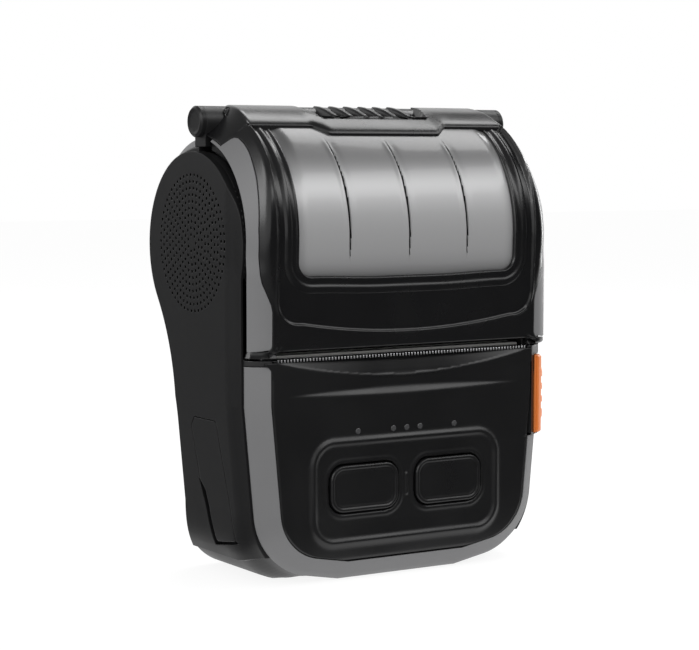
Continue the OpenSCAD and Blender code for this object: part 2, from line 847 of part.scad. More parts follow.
module lid_spring() {
    color([0.6, 0.6, 0.62]) difference() {
        rod_x(hinge_y, hinge_z, 3, -13.5, 13.5);
        rod_x(hinge_y, hinge_z, pin_r + 0.3, -14, 14);
    }
}

module platen_roller() {
    color([0.2, 0.2, 0.21]) difference() {
        rod_x(platen_y, platen_z, platen_r, -paper_w / 2, paper_w / 2);
        rod_x(platen_y, platen_z, shaft_r, -far, far);
    }
}

module platen_shaft() {
    color([0.72, 0.72, 0.74]) rod_x(platen_y, platen_z, shaft_r, -gear_x - gear_t - 0.2, hook_x + hook_t);
}

module platen_bushes() {
    color([0.85, 0.85, 0.8]) both_sides() difference() {
        rod_x(platen_y, platen_z, bush_r, paper_w / 2 + 0.5, cheek_out - 0.2);
        rod_x(platen_y, platen_z, shaft_r + turn_gap, 0, far);
    }
}

// Plain spur gear outline, its first tooth towards an angle
module gear_outline(teeth, turn) {
    r = gear_m * teeth / 2;
    circle(r - gear_m * 1.1);
    for (i = [0:teeth - 1]) rotate(turn + i * 360 / teeth)
        polygon([[0, -gear_m * 0.9], [r - gear_m, -gear_m * 0.95], [r + gear_m * 0.75, -gear_m * 0.3],
            [r + gear_m * 0.75, gear_m * 0.3], [r - gear_m, gear_m * 0.95], [0, gear_m * 0.9]]);
}

module platen_gear() {
    to_idler = atan2(idler_c[1] - platen_z, idler_c[0] - platen_y);
    color([0.88, 0.88, 0.84]) difference() {
        along_x(-gear_x - gear_t, -gear_x) translate([platen_y, platen_z]) gear_outline(platen_teeth, to_idler);
        rod_x(platen_y, platen_z, shaft_r, -far, far);
    }
}

module idler_gear() {
    to_platen = atan2(platen_z - idler_c[1], platen_y - idler_c[0]);
    color([0.88, 0.88, 0.84]) difference() {
        along_x(-gear_x - gear_t, -gear_x) translate(idler_c)
            gear_outline(idler_teeth, to_platen + 180 / idler_teeth);
        rod_x(idler_c[0], idler_c[1], 1.2 + turn_gap, -far, far);
    }
}

module motor_pinion() {
    to_platen = atan2(platen_z - idler_c[1], platen_y - idler_c[0]);
    to_pinion = atan2(pinion_dir[1], pinion_dir[0]);
    gap_phase = (to_pinion - to_platen - 180 / idler_teeth) * idler_teeth / 360;
    turn = to_pinion + 180 + (gap_phase - floor(gap_phase) - 0.5) * 360 / pinion_teeth;
    color([0.8, 0.68, 0.35]) {
        along_x(-gear_x - gear_t, -gear_x) translate(motor_c) gear_outline(pinion_teeth, turn);
        rod_x(motor_c[0], motor_c[1], 1, -gear_x - 0.1, -cheek_in + 3);
    }
}

module stepper_motor() {
    color([0.66, 0.66, 0.68]) difference() {
        rod_x(motor_c[0], motor_c[1], motor_r, -cheek_in + 0.1, -cheek_in + motor_len);
        rod_x(motor_c[0], motor_c[1], 1 + turn_gap, -far, -cheek_in + 3.2);
    }
}

// Trough for the paper roll with its two cheeks and the shelf under the print head
module paper_tray() {
    color([0.17, 0.17, 0.18]) difference() {
        union() {
            along_x(-cheek_out, cheek_out) difference() {
                translate([roll_y, roll_z]) circle(tray_out);
                translate([roll_y, roll_z]) circle(tray_in);
                translate([-far, roll_z]) square([far + hinge_y + 3.8, far]);
                translate([-far, 0]) square([far + latch_y - 5, far]);
            }
            both_sides() along_x(cheek_in, cheek_out) cheek_profile();
            box([-cheek_out, split_y + 1, seam_z - 11.5], [cheek_out, platen_y + 5.6, seam_z - 9.9]);
            rod_x(idler_c[0], idler_c[1], 1.2, -inner_hw + 0.3, -cheek_in - 0.1);
        }
        rod_x(motor_c[0], motor_c[1], 2.5, -cheek_out - 1, -cheek_in + 1);
        rod_x(latch_y, latch_z, 1.5 + turn_gap, -far, far);
        intersection() {
            along_x(-far, far) translate([roll_y, roll_z]) circle(tray_in);
            box([-cheek_in, -far, 0], [cheek_in, far, far]);
        }
    }
}

module cheek_profile() {
    difference() {
        union() {
            translate([disc_y, disc_z]) circle(disc_r - 0.5);
            polygon([[split_y + 1, seam_z - 11.5], [front_y + wall + 0.6, seam_z - 2], [front_y + wall + 0.6, platen_z + 1],
                [platen_y + 3, platen_z + 8], [roll_y, roll_z], [latch_y + 5, seam_z - 5], [latch_y, seam_z - 11.5]]);
        }
        hull() for (t = [0, 12]) translate([platen_y, platen_z] + leave * t) circle(bush_r + slide_gap);
    }
}

module tear_bar() {
    n = floor(2 * slot_hw - 2);
    w = slot_hw - 0.3;
    color([0.8, 0.8, 0.82]) translate([0, 0, seam_z - 0.9]) linear_extrude(0.8)
        polygon(concat([[-w, front_y + wall + 0.5], [w, front_y + wall + 0.5]],
            [for (i = [n:-1:-n]) [i * w / n, front_y + (abs(i) % 2 == 0 ? 0.1 : 0.8)]]));
}

module thermal_head() {
    color([0.3, 0.28, 0.25]) {
        box([-paper_w / 2 - 1, platen_y - 4, head_top - 1], [paper_w / 2 + 1, platen_y + 4, head_top - 0.3]);
        along_x(-paper_w / 2, paper_w / 2) intersection() {
            translate([platen_y, head_top - 1.1]) circle(1.1);
            translate([platen_y - 2, head_top - 0.6]) square([4, 2]);
        }
    }
}

module head_heatsink() {
    color([0.75, 0.75, 0.77]) box([-paper_w / 2 - 1, platen_y - 4.4, head_top - 3], [paper_w / 2 + 1, platen_y + 7, head_top - 1]);
}

module head_springs() {
    color([0.6, 0.6, 0.62]) both_sides() difference() {
        translate([22, platen_y + 2, seam_z - 9.9]) cylinder(r = 2.8, h = head_top - 3 - seam_z + 9.9);
        translate([22, platen_y + 2, seam_z - 11]) cylinder(r = 2, h = 20);
    }
}

module latch_bar() {
    color([0.55, 0.56, 0.58]) {
        rod_x(latch_y, latch_z, 1.5, -hook_x - hook_t, hook_x + 3);
        both_sides() along_x(hook_x, hook_x + hook_t) {
            translate([latch_y, latch_z]) circle(3);
            hook_profile();
        }
        along_x(hook_x, hook_x + 3) polygon([[latch_y - 1.5, latch_z], [latch_y - 1.5, finger_z() - 1.4],
            [latch_y + 1, finger_z() - 1.4], [latch_y + 1.5, latch_z]]);
    }
}

function finger_z() = latch_z - 13;

module hook_profile() {
    shank_y = platen_y - shaft_r - 0.3;
    nose_z = platen_z - shaft_r * 0.9;
    polygon([[latch_y + 1.8, latch_z - 2], [latch_y - 2, latch_z - 8], [shank_y + 0.4, latch_z - 8],
        [shank_y - 2, latch_z - 5.5], [shank_y - 2, nose_z - 0.6], [shank_y - 1, nose_z], [shank_y, nose_z],
        [shank_y, latch_z - 4.8], [shank_y + 2, latch_z - 3.8], [latch_y - 4, latch_z - 3.8], [latch_y - 2, latch_z + 1]]);
}

module release_button() {
    finger = finger_z();
    color([0.93, 0.45, 0.1]) {
        difference() {
            translate([0, 0, release_z0]) linear_extrude(release_z1 - release_z0) release_plan(0);
            for (z = [release_z0 + 7.7, release_z0 + 11.5, release_z0 + 15.3])
                translate([body_w / 2 + 0.5, front_y + 9, z]) rotate([90, 0, 0]) cylinder(r = 1.3, h = 12, center = true);
            translate([body_w / 2, 0, release_z1 + 0.6]) rotate([0, 30, 0]) box([-2, -far, -2.5], [6, far, 2.5]);
            translate([body_w / 2, 0, release_z0 - 0.6]) rotate([0, -30, 0]) box([-2, -far, -2.5], [6, far, 2.5]);
            translate([press[0] * 1.4, press[1] * 1.4, latch_z - 11.2]) linear_extrude(far) offset(delta = 0.02) release_plan(0);
            box([-far, -far, 0], [cheek_out - press[0] * release_travel + slide_gap, far, far]);
        }
        box([hook_x + 1.7, front_y + 6.5, finger - 1.2], [inner_hw - 0.4, latch_y - 1.8, finger + 1.2]);
    }
}

module key(x) {
    along_y(front_y - 0.3, front_y + wall + 0.2) translate([x, key_z]) rounded_rect(key_w, key_h, 4.3);
    along_y(front_y - 0.6, front_y) translate([x, key_z]) rounded_rect(key_w - 0.8, key_h - 0.8, 3.9);
    along_y(front_y + wall + slide_gap, front_y + wall + 1) translate([x, key_z]) rounded_rect(key_w + 1.6, key_h + 1.6, 5);
    along_y(front_y + wall, front_y + wall + 0.5) translate([x, key_z]) rounded_rect(key_w, key_h, 4.3);
    rod_y(x, key_z, 1.6, front_y + wall, switch_y() - key_travel - 0.1);
}

function switch_y() = board_y - 1.6;

module power_key() {
    color([0.09, 0.09, 0.1]) key(-key_x);
}

module feed_key() {
    color([0.09, 0.09, 0.1]) key(key_x);
}

module key_switches() {
    color([0.5, 0.5, 0.5]) both_sides() {
        box([key_x - 3, switch_y() + 0.4, key_z - 3], [key_x + 3, board_y, key_z + 3]);
        rod_y(key_x, key_z, 1.7, switch_y(), switch_y() + 0.5);
    }
}

module indicator_lights() {
    color([0.35, 0.35, 0.36]) for (x = light_xs()) rod_y(x, light_z, light_r, front_y + 0.05, board_y - 0.1);
}

module main_board() {
    color([0.1, 0.35, 0.2]) difference() {
        box([-33, board_y, board_lo()], [33, board_y + board_t, board_hi()]);
        for (s = [-1, 1], z = [board_lo() + 3, board_hi() - 3]) rod_y(s * 28, z, 1.1, -far, far);
    }
}

module io_board() {
    color([0.1, 0.35, 0.2]) box([io_x, -15, 20.2], [io_x + board_t, -1.5, 36.8]);
}

module usb_socket() {
    color([0.75, 0.75, 0.78]) difference() {
        box([io_face, -12.6, 31], [io_x, -3.4, 34.2]);
        box([io_face - 1, -12.3, 31.3], [io_x - 1, -3.7, 33.9]);
    }
}

module dc_jack() {
    color([0.12, 0.12, 0.13]) {
        difference() {
            rod_x(-10, jack_z, 4.4, io_face, io_x);
            rod_x(-10, jack_z, 2.75, -far, io_x - 1);
        }
        rod_x(-10, jack_z, 1, io_face + 0.6, io_x - 0.5);
    }
}

module battery_pack() {
    color([0.14, 0.14, 0.15]) box([-battery_w / 2, back_y - battery_d, battery_z],
        [battery_w / 2, back_y - 0.2, battery_z + battery_h]);
}

module battery_latch() {
    z = battery_z + battery_h + slide_gap;
    color([0.3, 0.3, 0.31]) {
        box([-8, back_y - 2.4, z], [8, back_y - 0.3, z + 5]);
        for (i = [0:2]) box([-6, back_y - 0.4, z + 1 + i * 1.3], [6, back_y + 0.1, z + 1.6 + i * 1.3]);
    }
}

module battery_contacts() {
    color([0.85, 0.7, 0.3]) for (x = [-9, -3, 3, 9])
        box([x - 1, back_y - battery_d - 4.8, battery_z + 5], [x + 1, back_y - battery_d - slide_gap, battery_z + 11]);
}

module paper_sensor() {
    color([0.08, 0.08, 0.09]) box([24, latch_y - 4.2, seam_z - 1], [31, latch_y - 2, seam_z + 3]);
}

module case_screws() {
    color([0.55, 0.55, 0.57]) for (s = [-1, 1], z = screw_zs) {
        rod_y(s * screw_x, z, screw_r, front_y + wall + 0.4, back_y - 1.7);
        rod_y(s * screw_x, z, 2.4, back_y - 1.6, back_y - 0.1);
    }
}

rear_housing();
front_cover();
lower_bumper();
left_side_cover();
right_side_cover();
rear_bumper_left();
rear_bumper_right();
lid_frame();
lid_window();
window_bezel();
upper_bumper_left();
upper_bumper_right();
lid_liner();
hinge_pin();
hinge_caps();
lid_spring();
platen_roller();
platen_shaft();
platen_bushes();
platen_gear();
idler_gear();
motor_pinion();
stepper_motor();
paper_tray();
tear_bar();
thermal_head();
head_heatsink();
head_springs();
latch_bar();
release_button();
power_key();
feed_key();
key_switches();
indicator_lights();
main_board();
io_board();
usb_socket();
dc_jack();
port_cover();
battery_pack();
battery_latch();
battery_contacts();
paper_sensor();
case_screws();
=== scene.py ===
# %% [markdown]
# # A mobile receipt printer, dressed for its picture
# The printer was built as solids first, and they arrive here as a fixed frame.
# This lesson gives the frame a camera, light, finishes and the pieces that need
# a finer shape than the solids have. Every size is in metres.

# %% Load the frame
import json
import math
import bmesh
import bpy
from mathutils import Matrix, Vector


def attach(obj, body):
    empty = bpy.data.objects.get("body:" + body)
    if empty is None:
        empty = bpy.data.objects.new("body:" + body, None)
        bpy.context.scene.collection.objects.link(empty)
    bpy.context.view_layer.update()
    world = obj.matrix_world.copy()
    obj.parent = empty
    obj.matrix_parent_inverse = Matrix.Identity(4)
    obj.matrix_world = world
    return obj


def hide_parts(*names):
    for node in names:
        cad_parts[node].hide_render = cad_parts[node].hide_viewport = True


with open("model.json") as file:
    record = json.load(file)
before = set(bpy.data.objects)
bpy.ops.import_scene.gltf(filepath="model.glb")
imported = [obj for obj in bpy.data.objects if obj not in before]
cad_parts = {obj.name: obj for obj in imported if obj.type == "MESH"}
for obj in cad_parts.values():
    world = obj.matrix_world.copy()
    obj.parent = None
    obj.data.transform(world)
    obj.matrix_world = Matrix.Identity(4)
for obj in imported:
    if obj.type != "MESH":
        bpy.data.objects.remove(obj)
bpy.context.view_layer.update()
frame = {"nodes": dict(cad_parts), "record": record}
nodes = frame["nodes"]
MM = 0.001

# %% [markdown]
# Four small helpers shape most of the surfaces below: a soft step, a table read
# with straight lines, an evenly spaced list, and a minimum without a crease.

# %% Helpers
def ease(a, b, v):
    """A soft step from 0 at a to 1 at b; b may be the lower of the two."""
    t = min(1.0, max(0.0, (v - a) / (b - a)))
    return t * t * (3 - 2 * t)

def between(v, table):
    """Straight lines through a table of pairs."""
    if v <= table[0][0]:
        return table[0][1]
    for (a, p), (b, q) in zip(table, table[1:]):
        if v <= b:
            return p + (q - p) * (v - a) / (b - a)
    return table[-1][1]

def pick(values, share):
    """The value at a share of the way along a list, between its entries too."""
    i = share * (len(values) - 1)
    k = min(int(i), len(values) - 2)
    return values[k] + (values[k + 1] - values[k]) * (i - k)

def soft_min(a, b, k):
    h = max(0.0, min(1.0, 0.5 + 0.5 * (b - a) / k))
    return b + (a - b) * h - k * h * (1 - h)

def box_distance(x, z, half_x, half_z, r):
    """Signed distance to a rounded rectangle about the origin, below 0 inside."""
    qx, qz = abs(x) - half_x + r, abs(z) - half_z + r
    return math.hypot(max(qx, 0), max(qz, 0)) + min(max(qx, qz), 0) - r

def lump(v, width, power=2):
    """A smooth bump of height 1 about 0, a width wide to each side."""
    return math.exp(-(v / width) ** power)

print("half a step is", ease(0, 2, 1))

# %% [markdown]
# ## The camera
# A product picture is taken with a long lens from a little above, so that the
# printer's edges stay nearly parallel. The camera aims at the middle of the
# body from the left, 604 mm away.

# %% Camera
AIM = Vector((-0.3, 0.5, 69.1)) * MM
TURN, TILT, DISTANCE = math.radians(32), math.radians(4.7), 0.604
SENSOR, PICTURE_WIDTH, FOCAL_PIXELS = 36, 699, 2050
away = Vector((math.sin(TURN) * math.cos(TILT), math.cos(TURN) * math.cos(TILT), -math.sin(TILT)))
lens = bpy.data.cameras.new("camera")
lens.sensor_width = SENSOR
lens.sensor_fit = "HORIZONTAL"
lens.lens = FOCAL_PIXELS / PICTURE_WIDTH * SENSOR
camera = bpy.data.objects.new("camera", lens)
bpy.context.scene.collection.objects.link(camera)
camera.location = AIM - away * DISTANCE
camera.rotation_euler = away.to_track_quat("-Z", "Y").to_euler()
bpy.context.scene.camera = camera
bpy.context.scene.view_settings.view_transform = "Standard"
print("lens", round(lens.lens, 1), "mm")

# %% [markdown]
# ## Floor, background and lamps
# White all round would leave black plastic grey, so a photographer sets black
# cards before the printer for its front to mirror, and grey ones behind and
# above it. The cards here are seen by mirror reflections alone, and the world is
# white wherever the camera, a mirror or glass looks at it.

# %% World
world = bpy.data.worlds.new("studio")
bpy.context.scene.world = world
world.use_nodes = True
tree = world.node_tree
tree.nodes.clear()
out = tree.nodes.new("ShaderNodeOutputWorld")
path = tree.nodes.new("ShaderNodeLightPath")
seen = path.outputs["Is Camera Ray"]
for ray in ("Is Glossy Ray", "Is Transmission Ray"):
    either = tree.nodes.new("ShaderNodeMath")
    either.operation = "MAXIMUM"
    tree.links.new(seen, either.inputs[0])
    tree.links.new(path.outputs[ray], either.inputs[1])
    seen = either.outputs[0]
mix = tree.nodes.new("ShaderNodeMixShader")
tree.links.new(seen, mix.inputs["Fac"])
for socket, strength in ((1, 0.55), (2, 1.0)):
    sky = tree.nodes.new("ShaderNodeBackground")
    sky.inputs["Color"].default_value = (1, 1, 1, 1)
    sky.inputs["Strength"].default_value = strength
    tree.links.new(sky.outputs[0], mix.inputs[socket])
tree.links.new(mix.outputs[0], out.inputs["Surface"])
print("world:", len(tree.nodes), "nodes")

# %% [markdown]
# The floor is a white sheet that keeps only the printer's shadow: its own
# colour is white to the camera, and the shadow darkens it a little.

# %% Floor
def sheet_of(name, size, place, mat, turn=(0, 0, 0)):
    bm = bmesh.new()
    bmesh.ops.create_grid(bm, x_segments=1, y_segments=1, size=0.5)
    bmesh.ops.scale(bm, vec=(size[0], size[1], 1), verts=bm.verts)
    mesh = bpy.data.meshes.new(name)
    bm.to_mesh(mesh)
    bm.free()
    card = bpy.data.objects.new(name, mesh)
    bpy.context.scene.collection.objects.link(card)
    card.location = place
    card.rotation_euler = turn
    card.data.materials.append(mat)
    return card

def plain(name, colour, rough):
    mat = bpy.data.materials.new(name)
    mat.use_nodes = True
    bsdf = mat.node_tree.nodes["Principled BSDF"]
    bsdf.inputs["Base Color"].default_value = (*colour, 1)
    bsdf.inputs["Roughness"].default_value = rough
    return mat

paper = bpy.data.materials.new("floor_paper")
paper.use_nodes = True
t = paper.node_tree
t.nodes.clear()
end = t.nodes.new("ShaderNodeOutputMaterial")
lit = t.nodes.new("ShaderNodeBsdfDiffuse")
lit.inputs["Color"].default_value = (0.93, 0.93, 0.93, 1)
glow = t.nodes.new("ShaderNodeEmission")
glow.inputs["Strength"].default_value = 1.1
both = t.nodes.new("ShaderNodeMixShader")
both.inputs["Fac"].default_value = 0.8
t.links.new(lit.outputs[0], both.inputs[1])
t.links.new(glow.outputs[0], both.inputs[2])
t.links.new(both.outputs[0], end.inputs["Surface"])
sheet_of("floor", (6, 6), (0, 0, -0.0002), paper)
print("floor laid")

# %% Cards
card_black = plain("card_black", (0.004, 0.004, 0.004), 0.95)
card_grey = plain("card_grey", (0.2, 0.2, 0.2), 0.95)
upright, level = math.radians(90), (0, 0, 0)
CARDS = [
    ("black_card", (2.6, 1.5), (0.70, -1.05, 0.14), card_black, (upright, 0, math.radians(34))),
    ("black_floor_card", (2.6, 2.2), (0.65, -1.15, 0.0005), card_black, level),
    ("grey_side_card", (1.6, 0.5), (-0.8, 1.0, 0.02), card_grey, (upright, 0, math.radians(38))),
    ("grey_floor_card", (1.8, 2.4), (-0.955, 0.9, 0.0006), card_grey, level),
    ("grey_ceiling_card", (3.0, 2.6), (0.5, 0.1, 1.3), card_grey, level)]
for row in CARDS:
    card = sheet_of(*row)
    card.visible_camera = False
    card.visible_diffuse = False
    card.visible_shadow = False
    card.visible_transmission = False
print("cards:", len(CARDS))

# %% Lamps
def lamp(name, size, place, power):
    light = bpy.data.lights.new(name, "AREA")
    light.shape = "RECTANGLE"
    light.size, light.size_y = size
    light.energy = power
    obj = bpy.data.objects.new(name, light)
    bpy.context.scene.collection.objects.link(obj)
    obj.location = place
    obj.rotation_euler = (AIM - Vector(place)).to_track_quat("-Z", "Y").to_euler()

lamp("top_softbox", (0.8, 0.26), (0.44, 0.26, 0.86), 3.2)
lamp("front_softbox", (1.1, 0.26), (0.42, -0.5, 0.57), 2.4)
lamp("left_softbox", (0.3, 0.7), (-0.9, -0.3, 0.62), 3.2)
lamp("right_strip", (0.12, 0.7), (0.75, 0.35, 0.35), 1.6)

# %% [markdown]
# ## Finishes
# A moulded plastic is never one flat colour. Its grain is a fine bump, its
# gloss varies a little where hands have been, and its edges catch the light
# because they are round. The Bevel node rounds each edge in the shading, and
# how far it turns the surface shows where edges wear first.

# %% A maker of plastics and metals
def finish(name, colour, rough, grain=3500, depth=0.00001, mottle=0.1, edge=0.00035,
           wear=0.0, metal=0.0, coat=0.0, spec=0.5, vary=0.05):
    """Grain is the bump's scale, depth its height in metres, edge the round's radius."""
    mat = bpy.data.materials.new(name)
    mat.use_nodes = True
    t = mat.node_tree
    bsdf = t.nodes["Principled BSDF"]
    bsdf.inputs["Metallic"].default_value = metal
    bsdf.inputs["Coat Weight"].default_value = coat
    bsdf.inputs["Coat Roughness"].default_value = 0.08
    bsdf.inputs["Specular IOR Level"].default_value = spec
    coords = t.nodes.new("ShaderNodeTexCoord")
    cloud = t.nodes.new("ShaderNodeTexNoise")
    fine = t.nodes.new("ShaderNodeTexNoise")
    for noise, scale, detail in ((cloud, 60, 6), (fine, grain, 2)):
        noise.inputs["Scale"].default_value = scale
        noise.inputs["Detail"].default_value = detail
        t.links.new(coords.outputs["Object"], noise.inputs["Vector"])
    tone = t.nodes.new("ShaderNodeMix")
    tone.data_type = "RGBA"
    tone.inputs[6].default_value = (*[c * (1 - mottle) for c in colour], 1)
    tone.inputs[7].default_value = (*[min(1, c * (1 + mottle)) for c in colour], 1)
    t.links.new(cloud.outputs["Fac"], tone.inputs[0])
    gloss = t.nodes.new("ShaderNodeMapRange")
    gloss.inputs["From Min"].default_value = 0.3
    gloss.inputs["From Max"].default_value = 0.7
    gloss.inputs["To Min"].default_value = max(0.02, rough - vary)
    gloss.inputs["To Max"].default_value = rough + vary
    t.links.new(cloud.outputs["Fac"], gloss.inputs["Value"])
    t.links.new(gloss.outputs["Result"], bsdf.inputs["Roughness"])
    bump = t.nodes.new("ShaderNodeBump")
    bump.inputs["Strength"].default_value = 0.5
    bump.inputs["Distance"].default_value = depth
    t.links.new(fine.outputs["Fac"], bump.inputs["Height"])
    t.links.new(bump.outputs["Normal"], bsdf.inputs["Normal"])
    colour_out = tone.outputs[2]
    if edge:
        soft_edge = t.nodes.new("ShaderNodeBevel")
        soft_edge.samples = 6
        soft_edge.inputs["Radius"].default_value = edge
        t.links.new(soft_edge.outputs["Normal"], bump.inputs["Normal"])
        if wear:
            face = t.nodes.new("ShaderNodeNewGeometry")
            turned = t.nodes.new("ShaderNodeVectorMath")
            turned.operation = "DOT_PRODUCT"
            t.links.new(soft_edge.outputs["Normal"], turned.inputs[0])
            t.links.new(face.outputs["Normal"], turned.inputs[1])
            rub = t.nodes.new("ShaderNodeMapRange")
            rub.inputs["From Min"].default_value = 0.995
            rub.inputs["From Max"].default_value = 0.85
            rub.inputs["To Max"].default_value = wear
            t.links.new(turned.outputs["Value"], rub.inputs["Value"])
            worn = t.nodes.new("ShaderNodeMix")
            worn.data_type = "RGBA"
            worn.inputs[7].default_value = (*[min(1, c * 2 + 0.02) for c in colour], 1)
            t.links.new(rub.outputs["Result"], worn.inputs[0])
            t.links.new(colour_out, worn.inputs[6])
            colour_out = worn.outputs[2]
    t.links.new(colour_out, bsdf.inputs["Base Color"])
    return mat

# %% The printer's own finishes
black_front = finish("front_black", (0.0065, 0.0065, 0.007), 0.34, wear=0.25)
black_lid = finish("lid_black", (0.006, 0.006, 0.0065), 0.26, wear=0.25)
black_side = finish("side_black", (0.008, 0.008, 0.0085), 0.4, wear=0.2, spec=0.3)
black_rear = finish("rear_black", (0.007, 0.007, 0.0075), 0.45, wear=0.2)
key_black = finish("key_black", (0.007, 0.007, 0.0075), 0.3, wear=0.2)
bumper_grey = finish("bumper_grey", (0.155, 0.155, 0.158), 0.5, mottle=0.06, wear=0.2)
orange = finish("button_orange", (0.74, 0.19, 0.028), 0.35, mottle=0.05, wear=0.1)
smoked = finish("window_smoked", (0.42, 0.42, 0.43), 0.3, grain=1500, depth=0.000004, mottle=0.04,
    edge=0.0003, coat=0.25, metal=0.1, vary=0.0)
# Near-black: painted shade on the side disc's dimple floors, and the black of the tear bar's roots.
dimple_shade_and_root_black = finish("dimple_shade_and_root_black", (0.0012, 0.0012, 0.0012), 0.7, edge=0, spec=0.1)
# Painted shade for the floors of the window's crease slits.
crease_painted_shade = finish("crease_painted_shade", (0.002, 0.002, 0.002), 0.5, edge=0, spec=0.2)
steel = finish("turned_steel", (0.56, 0.56, 0.57), 0.28, metal=1.0)
spring_steel = finish("spring_steel", (0.42, 0.42, 0.43), 0.32, metal=1.0)
rubber = finish("platen_rubber", (0.03, 0.03, 0.032), 0.7, grain=2500, depth=0.00003)
gear_white = finish("gear_acetal", (0.62, 0.6, 0.55), 0.4)
board_green = finish("board_green", (0.01, 0.085, 0.035), 0.35)
ceramic = finish("head_ceramic", (0.5, 0.5, 0.48), 0.3)
aluminium = finish("head_aluminium", (0.6, 0.6, 0.61), 0.35, metal=1.0)
lens_grey = finish("light_lens", (0.05, 0.05, 0.052), 0.25)
pack_black = finish("battery_black", (0.02, 0.02, 0.022), 0.45, wear=0.2)
liner_grey = finish("liner_grey", (0.03, 0.03, 0.032), 0.5)
brass = finish("contact_brass", (0.72, 0.52, 0.2), 0.3, metal=1.0)
print("finishes made:", len(bpy.data.materials))

# %% [markdown]
# A ramp along its height takes the place of the smoked window's one colour: a painted highlight
# band across its middle, and painted shade at its foot and under the ledge.

# %% Window's painted highlight and shade
def paint_light_by_height(mat, stops):
    """Put a ramp of painted highlight and shade along Z; each stop is a height in millimetres and a
    tone.
    """
    t = mat.node_tree
    coords = t.nodes.new("ShaderNodeTexCoord")
    split = t.nodes.new("ShaderNodeSeparateXYZ")
    t.links.new(coords.outputs["Object"], split.inputs[0])
    along = t.nodes.new("ShaderNodeMapRange")
    along.inputs["From Min"].default_value = stops[0][0] * MM
    along.inputs["From Max"].default_value = stops[-1][0] * MM
    t.links.new(split.outputs["Z"], along.inputs["Value"])
    ramp = t.nodes.new("ShaderNodeValToRGB")
    ramp.color_ramp.interpolation = "B_SPLINE"
    spots = ramp.color_ramp.elements
    for i, (z, tone) in enumerate(stops):
        at = (z - stops[0][0]) / (stops[-1][0] - stops[0][0])
        spot = spots[0] if i == 0 else spots[-1] if i == len(stops) - 1 else spots.new(at)
        spot.position = at
        spot.color = (tone, tone, tone * 1.01, 1)
    t.links.new(along.outputs["Result"], ramp.inputs["Fac"])
    t.links.new(ramp.outputs["Color"], t.nodes["Principled BSDF"].inputs["Base Color"])

# Painted light: the tones rise to a painted highlight at 107 to 111 mm and fall to painted shade at
# the foot and under the ledge.
WINDOW_PAINTED_LIGHT = [(85, 0.14), (88, 0.22), (92, 0.28), (98, 0.31), (103, 0.35), (107, 0.43), (111, 0.42),
    (115, 0.26), (119, 0.14), (123, 0.08), (127, 0.06)]
paint_light_by_height(smoked, WINDOW_PAINTED_LIGHT)
print("tint stops:", len(WINDOW_PAINTED_LIGHT))

# %% Each node's finish
wearing = {
    "rear_housing": black_rear, "front_cover": black_front, "lower_bumper": bumper_grey,
    "left_side_cover": black_side, "right_side_cover": black_side,
    "rear_bumper_left": bumper_grey, "rear_bumper_right": bumper_grey, "lid_frame": black_lid,
    "lid_window": smoked, "window_bezel": black_lid, "upper_bumper_left": bumper_grey,
    "upper_bumper_right": bumper_grey, "lid_liner": liner_grey, "hinge_pin": steel,
    "hinge_caps": black_side, "lid_spring": spring_steel, "platen_roller": rubber,
    "platen_shaft": steel, "platen_bushes": gear_white, "platen_gear": gear_white,
    "idler_gear": gear_white, "motor_pinion": brass, "stepper_motor": steel,
    "paper_tray": liner_grey, "tear_bar": steel, "thermal_head": ceramic,
    "head_heatsink": aluminium, "head_springs": spring_steel, "latch_bar": steel,
    "release_button": orange, "power_key": key_black, "feed_key": key_black,
    "key_switches": pack_black, "indicator_lights": lens_grey, "main_board": board_green,
    "io_board": board_green, "usb_socket": steel, "dc_jack": pack_black, "port_cover": black_side,
    "battery_pack": pack_black, "battery_latch": pack_black, "battery_contacts": brass,
    "paper_sensor": pack_black, "case_screws": steel,
}
for name, mat in wearing.items():
    node = nodes[name]
    node.data.materials.clear()
    node.data.materials.append(mat)
print("finishes given to", len(wearing), "nodes")

# %% [markdown]
# ## Smooth skins over the solids
# The solids are loose triangles, and their curves would show facets. A copy of
# each visible node is merged, its nearly flat edges are shaded smooth, and
# normals weighted by area keep the flats flat. The copy replaces the node.

# %% Bodies and material slots
body_of = {n: b for b, ns in frame["record"]["behaviour"]["bodies"].items() for n in ns}

# %% From a bmesh to a finished object
def finish_mesh(bm, name, mats, body, angle=32, weighted=True):
    for f in bm.faces:
        f.smooth = True
    for e in bm.edges:
        e.smooth = len(e.link_faces) == 2 and e.calc_face_angle(0) < math.radians(angle)
    mesh = bpy.data.meshes.new(name)
    bm.to_mesh(mesh)
    bm.free()
    obj = bpy.data.objects.new(name, mesh)
    bpy.context.scene.collection.objects.link(obj)
    for mat in mats:
        obj.data.materials.append(mat)
    if weighted:
        weigh = obj.modifiers.new("flats stay flat", "WEIGHTED_NORMAL")
        weigh.keep_sharp = True
        weigh.mode = "FACE_AREA_WITH_ANGLE"
    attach(obj, body)
    return obj

def merged(node):
    bm = bmesh.new()
    bm.from_mesh(nodes[node].data)
    bmesh.ops.remove_doubles(bm, verts=bm.verts, dist=3e-6)
    bmesh.ops.dissolve_degenerate(bm, edges=bm.edges, dist=2e-6)
    return bm

def skin(node, change=None, mats=None):
    """A smooth copy of a node; change is a function that edits its mesh first."""
    bm = merged(node)
    if change:
        change(bm)
    obj = finish_mesh(bm, "skin_" + node, mats or [wearing[node]], body_of[node])
    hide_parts(node)
    return obj

print("ready to skin", len(body_of), "nodes")

# %% [markdown]
# Some copies are shaped a little on the way. Each change below takes the mesh
# and moves its vertices, or marks faces for the second material.

# %% Changes to the copies
CORNER_X, CORNER_Z, CORNER_R = 27.0, 21.6, 20.0
LAST_TURN, FULLER = 112, 3.6

